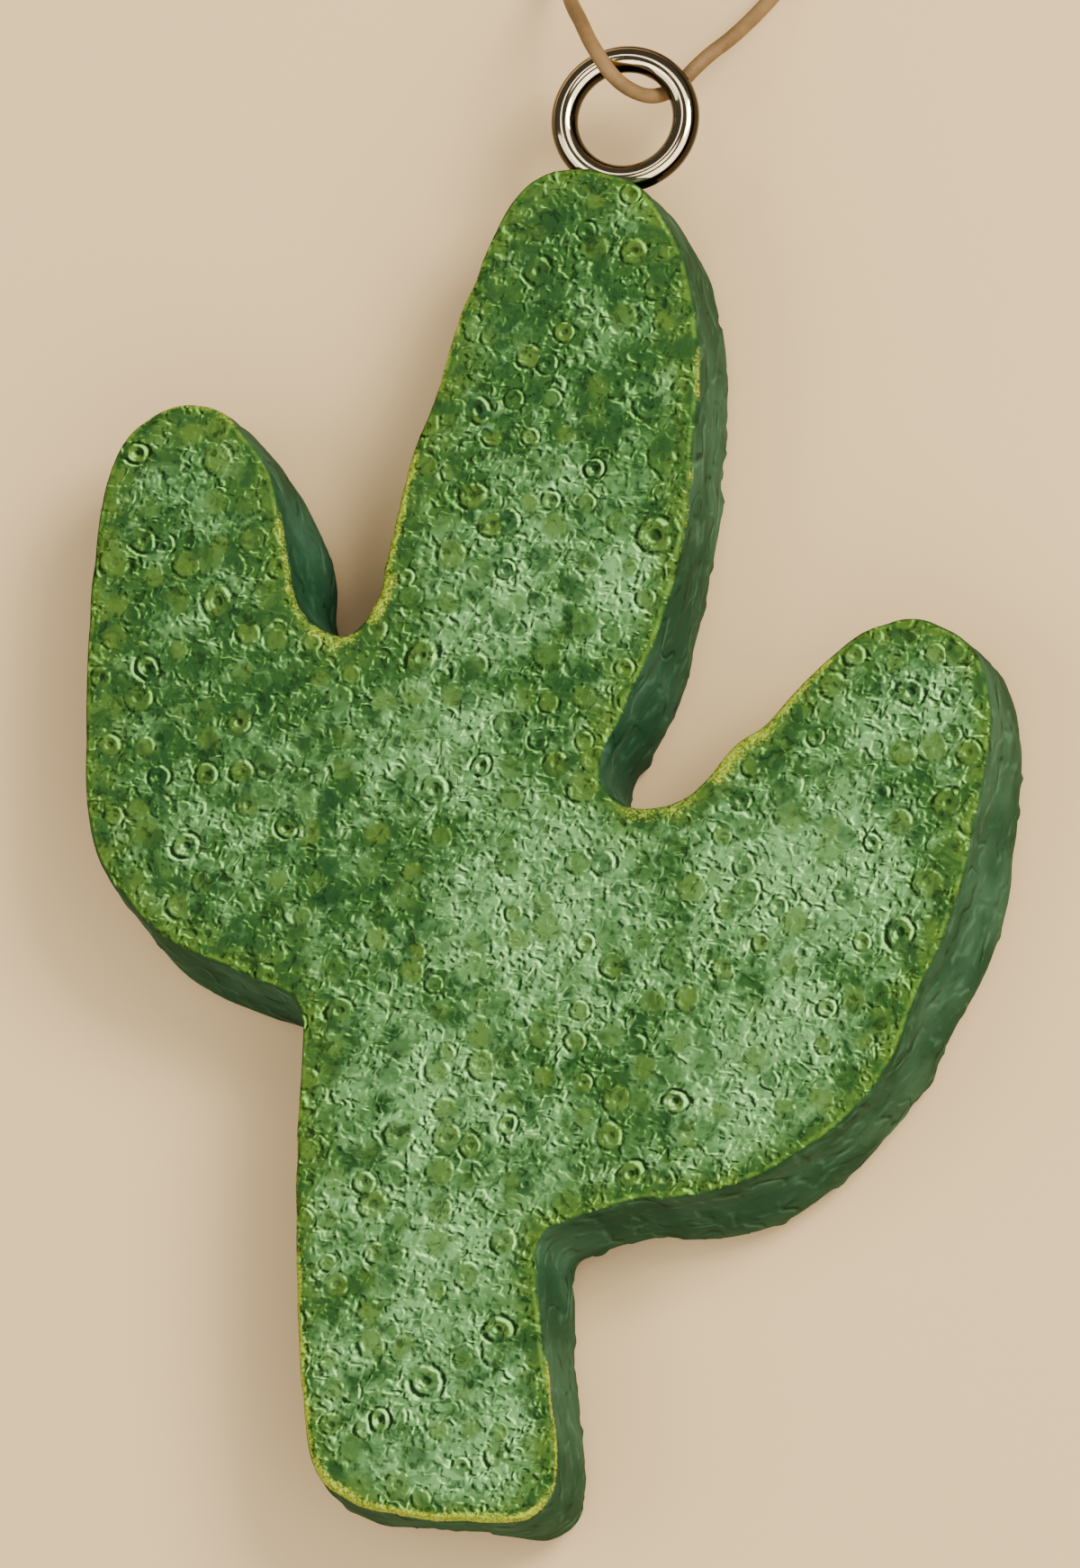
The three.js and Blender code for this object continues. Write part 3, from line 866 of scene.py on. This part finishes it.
        # Each coat over the last: how much of it shows, and its colour.
        for share, coat in (
            (leafy, c.leaf[:]),
            (sunk, c.deep[:]),
            (leafy_rim, c.leaf[:]),
            (frost * (0.85 - disc * 0.55), c.frost[:]),
            # Painted shade on the relief's sides turned from the light.
            (painted_relief_light.ramp(-0.02, -0.40) * 0.92, c.pit_and_painted_shade[:]),
            # Painted highlight on the relief's sides turned to the light.
            (painted_relief_light.ramp(0.05, 0.50) * (0.6 + dense * 0.35), painted_highlight),
            # Painted shade in the pits, the circles' grooves and the dimples.
            (pit_and_painted_shade * 0.6, c.pit_and_painted_shade[:]),
            (circle * 0.5, c.pit_and_painted_shade[:]),
            (dimple_and_painted_shade * 0.6, c.pit_and_painted_shade[:]),
            # Painted highlight along the face's edge.
            (painted_edge_highlight * 0.32, c.lip_and_painted_edge_light[:]),
            (self.inside.ramp(0.28, 0.08) * 0.7, c.wall[:]),
        ):
            colour = self.mix(share, colour, coat)
        height = ridge * busy * 0.5 - pit_and_painted_shade * 0.8 + self.fine * 0.1 + self.blotches * 2.6
        return colour, height + bead_height * 0.8

    def lumps(self, step):
        """Height of the folds on the walls and the back, a step along from here."""
        here = self.vectors("ADD", self.here, step)
        warped = self.warp(here, 2.4, 0.35)
        crease = abs(self.noise(warped, 0.22, 1.0) - 0.5).ramp(0.0, 0.08)
        return crease * 0.35 + self.noise(warped, 0.40) * 1.8

    def walls(self):
        """Colour and height of the walls and the back."""
        c, lump = self.colours, self.lumps((0.0, 0.0, 0.0))
        # The folds' fall towards the light: painted sheen on their lit sides, painted shade on the others.
        painted_fold_light = lump - self.lumps(WALL_STEP)
        # Paler random patches, and painted sheen on the folds' lit sides.
        sheen = self.patches.ramp(0.35, 0.7) * 0.5 + painted_fold_light.ramp(0.0, 0.45) * 0.5
        low = self.mix(sheen, c.wall[:], c.wall_pale_and_painted_sheen[:])
        colour = self.mix(painted_fold_light.ramp(-0.05, -0.45) * 0.7, low, c.pit_and_painted_shade[:])
        return colour, lump * 0.7 + self.fine * 0.12

    def gold_dust(self):
        """How much mica dust lies here, and its colour."""
        gold = self.attribute("gold")
        dust = gold * 1.3 + (self.fine - 0.5) * 1.6 + (self.breaks - 0.5) * 1.6 - 0.3
        dust = dust.ramp(0.05, 0.95) * gold.ramp(0.02, 0.2)
        c = self.colours
        return dust, self.mix(self.fine.ramp(0.35, 0.65), c.gold_deep[:], c.gold[:])


# ---- settings ----

def colour(name, description, *levels):
    return bpy.props.FloatVectorProperty(
        name=name, description=description, subtype="COLOR", size=4, min=0.0, max=1.0,
        default=(*map(linear, levels), 1.0),
    )


class OrnamentSlabSettings(bpy.types.PropertyGroup):
    """The green slab's relief and colours"""

    relief: bpy.props.FloatProperty(
        name="Relief", description="How deeply the beads' circles are pressed into the face",
        default=1.0, min=0.0, max=2.0, subtype="FACTOR",
    )
    chance: bpy.props.IntProperty(
        name="Scatter", description="Picks another scatter of beads", default=11, min=0)
    face: colour("Face green", "Plain colour of the pressed face", 43, 76, 32)
    leaf: colour("Leaf green", "Yellower beads and the face near its edge", 71, 98, 35)
    deep: colour("Deep green", "Bluish beads and hollows", 20, 51, 25)
    frost: colour("Frost", "Frosted patches in the middle of the face", 107, 156, 92)
    # Painted highlight on the lit sides of the small ridges, where the face is frosted.
    painted_frosted_highlight: colour("Ridges", "Tops of the small ridges where the face is frosted", 182, 252, 138)
    # Painted highlight on the lit sides of the small ridges elsewhere.
    painted_leafy_highlight: colour("Leafy ridges", "Tops of the small ridges elsewhere", 148, 224, 98)
    # Painted shade: in pits, circles and dimples, and on the sides of the face's relief and the walls'
    # folds turned from the light.
    pit_and_painted_shade: colour("Pits", "Bottoms of pits and circles", 11, 31, 8)
    # Painted highlight along the face's edge.
    lip_and_painted_edge_light: colour("Bright edge", "Light green along the face's edge", 118, 160, 62)
    wall: colour("Wall green", "Side walls and back", 30, 64, 40)
    # Paler patches of the walls, and painted sheen on the lit sides of their folds.
    wall_pale_and_painted_sheen: colour("Wall sheen", "Paler folds of the walls", 70, 106, 78)
    gold: colour("Gold dust", "Mica dust on the rim", 180, 196, 66)
    gold_deep: colour("Deep gold", "Mica dust where it lies thick", 126, 142, 24)


class OrnamentRingSettings(bpy.types.PropertyGroup):
    """The metal ring's wire and colour"""

    segments: bpy.props.IntProperty(
        name="Segments", description="Facets round the ring", default=144, min=24, max=512)
    steel: colour("Metal", "Polished metal", 242, 220, 172)
    tarnish: colour("Tarnish", "Faint tarnish on the metal", 206, 180, 140)
    # Painted dark reflection of the dim room on the wire's flanks.
    painted_flank_reflection: colour("Oxide", "Dark film on the wire's flanks", 26, 18, 12)


class OrnamentCordSettings(bpy.types.PropertyGroup):
    """The cord's size and colour"""

    diameter: bpy.props.FloatProperty(
        name="Diameter", description="Thickness of the cord", default=CORD_D * MM, min=0.0003,
        unit="LENGTH", subtype="DISTANCE",
    )
    tan: colour("Tan", "Body of the cord", 130, 101, 62)
    tan_dark: colour("Dark tan", "Darker streaks of the cord", 92, 66, 36)


class OrnamentStageSettings(bpy.types.PropertyGroup):
    """Camera distance, floor and lights"""

    distance: bpy.props.FloatProperty(
        name="Camera distance", description="From the slab's face to the camera", default=1.3, min=0.3,
        unit="LENGTH", subtype="DISTANCE",
    )
    floor: colour("Floor", "Pale floor", 222, 188, 136)
    key: bpy.props.FloatProperty(
        name="Key light", description="Power of the large light", default=6.5, min=0.0,
        unit="POWER")
    fill: bpy.props.FloatProperty(
        name="Fill light", description="Power of the fill light", default=1.5, min=0.0, unit="POWER")
    room: bpy.props.FloatProperty(
        name="Room light", description="Brightness of the soft light overhead", default=3.4, min=0.0)


# ---- operators ----

def towards_camera():
    """The direction from the slab's face to the camera."""
    side = Vector(VIEW_SIDE).normalized() * math.sin(math.radians(VIEW_TILT))
    return Vector((side.x, side.y, math.cos(math.radians(VIEW_TILT))))


class ORNAMENT_OT_stage(bpy.types.Operator):
    """Floor, soft lights and the camera"""

    bl_idname = "ornament.stage"
    bl_label = "Stage"

    def execute(self, context):
        settings = context.scene.ornament_stage
        self.camera(context, settings)
        self.floor(settings)
        self.lights(settings)
        self.room(context, settings)
        return {"FINISHED"}

    def floor(self, settings):
        bpy.ops.mesh.primitive_plane_add(size=FLOOR_SIZE, location=(0, 0, 0))
        floor = added("floor")
        mode("EDIT")
        bpy.ops.mesh.subdivide(number_cuts=8)
        mode("OBJECT")
        f = Finish("pale_floor")
        cloudy = f.noise(f.place(), 0.012, 3.0, 0.5)
        shade = f.mix(cloudy * 0.08, settings.floor[:], FLOOR_CLOUD)
        f.feed(Base_Color=shade, Roughness=0.85, Specular_IOR_Level=0.2)
        f.on(floor)

    def lights(self, settings):
        for name, place, size, power, tint in LIGHTS:
            bpy.ops.object.light_add(type="AREA", location=place)
            light = added(name)
            light.data.size = size
            light.data.energy = getattr(settings, power)
            light.data.color = tint
            light.visible_camera = False
            aim = Vector(LIGHTS_AIM) - Vector(place)
            light.rotation_mode = "QUATERNION"
            light.rotation_quaternion = aim.to_track_quat("-Z", "Y")

    def room(self, context, settings):
        """A dim room with a broad soft light overhead and a dark ring through it."""
        world = bpy.data.worlds.new("soft_room")
        world.use_nodes = True
        w = Wiring(world.node_tree, "Background")
        way = w.add("ShaderNodeTexCoord", {}, "Generated", {})
        towards = towards_camera()
        facing = w.vectors("DOT_PRODUCT", way, tuple(towards), output="Value")
        upward = w.vectors("DOT_PRODUCT", way, (0.0, 0.0, 1.0), output="Value")
        gap = abs(upward - towards.z).ramp(*ROOM_GAP)
        canopy = facing.ramp(*(math.cos(math.radians(a)) for a in ROOM_CANOPY))
        level = ROOM_DIM + settings.room * (canopy * (1.0 - gap))
        seen = w.add("ShaderNodeLightPath", {}, "Is Camera Ray", {})
        w.feed(Color=ROOM_TINT, Strength=seen * ROOM_SHOWN + (1.0 - seen) * level)
        context.scene.world = world

    def camera(self, context, settings):
        away = towards_camera()
        bpy.ops.object.camera_add()
        camera = added("photo_camera")
        camera.location = Vector(AIM) * MM + away * settings.distance
        camera.rotation_mode = "QUATERNION"
        camera.rotation_quaternion = Vector((0, 0, 1)).rotation_difference(away)
        camera.data.sensor_width = SENSOR
        camera.data.lens = SENSOR * settings.distance / (VIEW_HEIGHT * MM)
        camera.data.clip_start, camera.data.clip_end = CLIP
        context.scene.camera = camera


def on_coil(angle, radius, z):
    x, y = COIL_MIDDLE
    return Vector((x + radius * math.cos(angle), y + radius * math.sin(angle), z))


def cord_line():
    """The whole cord's line: knot, ring, coil and knot again."""
    points = [Vector(p) for p in CORD_ROUTE]
    angle, radius, z = 0.0, COIL_OUTER_R, COIL_LOW_Z
    for turns, to_radius, to_z in COIL_STRETCHES:
        steps = max(2, round(turns * COIL_POINTS))
        for i in range(steps):
            soft = smoothstep(i / steps, 0.0, 1.0)
            here = angle + i / steps * turns * math.tau
            points.append(on_coil(here, radius + (to_radius - radius) * soft, z + (to_z - z) * soft))
        angle, radius, z = angle + turns * math.tau, to_radius, to_z
    points.append(on_coil(angle, radius, z))
    points.extend(Vector(p) for p in CORD_ENDING)
    return through(points, 4)


def tube(name, line, radius, closed=False):
    """A curve of one spline along a line of millimetres, with a round section."""
    data = bpy.data.curves.new(name, "CURVE")
    data.dimensions = "3D"
    data.bevel_depth = radius * MM
    data.bevel_resolution = 4
    data.use_fill_caps = not closed
    spline = data.splines.new("POLY")
    spline.points.add(len(line) - 1)
    for point, (x, y, z) in zip(spline.points, line):
        point.co = (x * MM, y * MM, z * MM, 1.0)
    spline.use_cyclic_u = closed
    spline.use_smooth = True
    return linked(name, data)


def cord_finish(settings):
    f = Finish("tan_cord_finish")
    place = f.place()
    broad = f.noise(place, 0.35)
    grain = f.noise(place, 2.2, 3.0, 0.6)
    tint = f.mix(broad.ramp(0.35, 0.7) * 0.5 + grain.ramp(0.5, 0.75) * 0.35, settings.tan[:],
                 settings.tan_dark[:])
    f.feed(
        Base_Color=tint,
        Roughness=0.46 + grain * 0.16,
        Normal=f.bump(grain + broad * 2.0, 0.05, 0.6),
        Specular_IOR_Level=0.15,
    )
    return f


class ORNAMENT_OT_cord(bpy.types.Operator):
    """Tan cord through the ring, with its coil and the knot that joins its ends"""

    bl_idname = "ornament.cord"
    bl_label = "Cord and knot"

    def execute(self, context):
        settings = context.scene.ornament_cord
        finish = cord_finish(settings)
        knot = self.knot()
        finish.on(knot)
        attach(knot, "root")
        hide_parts("cord_knot")
        line = cord_line()
        cord = tube("tan_cord", line, settings.diameter / 2 / MM)
        finish.on(cord)
        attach(cord, "root")
        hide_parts("cord_strand", "cord_coil")
        return {"FINISHED"}

    def knot(self):
        """The shape of a tight overhand knot, drawn as a closed trefoil with two short tails."""
        turn = np.linspace(0.0, math.tau, KNOT_POINTS, endpoint=False)
        trefoil = np.column_stack((
            KNOT_LINE_R * (np.sin(turn) + 2 * np.sin(2 * turn)),
            KNOT_LINE_R * (np.cos(turn) - 2 * np.cos(2 * turn)),
            -KNOT_RISE * np.sin(3 * turn),
        ))
        line = np.array(KNOT_MIDDLE) + trefoil * KNOT_STRETCH
        parts = [tube("cord_end_knot", line, KNOT_STRAND_R, closed=True)]
        parts += [tube("tail", through(tail, 6), CORD_D / 2) for tail in KNOT_TAILS]
        activate(*parts)
        bpy.ops.object.convert(target="MESH")
        bpy.ops.object.join()
        return added("cord_end_knot")


class ORNAMENT_OT_ring(bpy.types.Operator):
    """Polished ring through the slab's crown"""

    bl_idname = "ornament.ring"
    bl_label = "Ring"

    def execute(self, context):
        settings = context.scene.ornament_ring
        low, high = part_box("hanging_ring")
        wire = (high.z - low.z) / 2
        mean = (high.x - low.x) / 2 - wire
        middle = (low + high) / 2
        bpy.ops.mesh.primitive_torus_add(
            location=middle, major_segments=settings.segments, minor_segments=RING_SIDES,
            major_radius=mean, minor_radius=wire,
        )
        ring = added("steel_ring")
        bpy.ops.object.transform_apply(location=True, rotation=True, scale=True)
        bpy.ops.object.shade_smooth()
        f = Finish("polished_metal")
        place = f.place()
        smear = f.noise(place, 0.5, 3.0, 0.6)
        scuffs = f.noise(f.place((1.0, 1.0, 3.0)), 3.0, 2.0, 0.5, 0.4)
        radius = f.level_length(f.vectors("SUBTRACT", place, tuple(middle / MM)))
        # Painted dark reflection on the wire's flanks.
        painted_flank = abs(radius - mean / MM).ramp(*(share * wire / MM for share in RING_PAINTED_FLANK))
        worn = f.mix(smear.ramp(0.4, 0.75) * 0.6, settings.steel[:], settings.tarnish[:])
        f.feed(
            Base_Color=f.mix(painted_flank * 0.97, worn, settings.painted_flank_reflection[:]),
            Roughness=0.07 + smear.ramp(0.45, 0.8) * 0.08,
            Metallic=1.0,
            Normal=f.bump(scuffs, 0.006, 0.15),
        )
        f.on(ring)
        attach(ring, "root")
        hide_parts("hanging_ring")
        return {"FINISHED"}


class ORNAMENT_OT_slab(bpy.types.Operator):
    """Green slab of fused beads: moulded outline, lumpy back, pressed front"""

    bl_idname = "ornament.slab"
    bl_label = "Bead slab"

    def execute(self, context):
        settings = context.scene.ornament_slab
        rng = np.random.default_rng(settings.chance)
        stations, outward = outline()
        rim = Rim(stations, outward)
        slab = slab_body(stations, outward)
        back_model = bead("back_bead", BACK_BEAD_R)
        beads = copies(back_model, back_spots(rim, rng), rng)
        wall_model = bead("wall_bead", WALL_BEAD_R)
        beads += copies(wall_model, wall_spots(stations, outward, rng), rng)
        beads += copies(wall_model, ring_seat_spots(*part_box("hanging_ring")), rng)
        bpy.data.objects.remove(back_model)
        bpy.data.objects.remove(wall_model)
        activate(slab, *beads)
        bpy.ops.object.join()
        modify(slab, "REMESH", mode="VOXEL", voxel_size=VOXEL * MM)
        modify(slab, "SMOOTH", factor=0.5, iterations=3)
        press_face(slab, rim, settings.relief)
        mark_slab(slab, rim)
        bpy.ops.object.shade_smooth()
        SlabFinish(settings).on(slab)
        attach(slab, "root")
        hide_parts("cactus_slab")
        return {"FINISHED"}


class ORNAMENT_PT_panel(bpy.types.Panel):
    """Lists the ornament's pieces and their settings"""

    bl_label = "Bead ornament"
    bl_idname = "ORNAMENT_PT_panel"
    bl_space_type = "VIEW_3D"
    bl_region_type = "UI"
    bl_category = "Ornament"

    def draw(self, context):
        for name, _, operator in PIECES:
            box = self.layout.box()
            box.operator(operator.bl_idname)
            group = getattr(context.scene, name)
            for key in group.__annotations__:
                box.prop(group, key)


# The settings of each piece, their group and the piece's operator.
PIECES = (
    ("ornament_stage", OrnamentStageSettings, ORNAMENT_OT_stage),
    ("ornament_cord", OrnamentCordSettings, ORNAMENT_OT_cord),
    ("ornament_ring", OrnamentRingSettings, ORNAMENT_OT_ring),
    ("ornament_slab", OrnamentSlabSettings, ORNAMENT_OT_slab),
)
CLASSES = (*(made for _, *pair in PIECES for made in pair), ORNAMENT_PT_panel)


def register():
    for made in CLASSES:
        bpy.utils.register_class(made)
    for name, group, _ in PIECES:
        setattr(bpy.types.Scene, name, bpy.props.PointerProperty(type=group))


def unregister():
    for name, _, _ in PIECES:
        delattr(bpy.types.Scene, name)
    for made in reversed(CLASSES):
        bpy.utils.unregister_class(made)


def main():
    register()
    bpy.ops.ornament.stage()
    bpy.ops.ornament.cord()
    bpy.ops.ornament.ring()
    bpy.ops.ornament.slab()


if __name__ == "__main__":
    main()
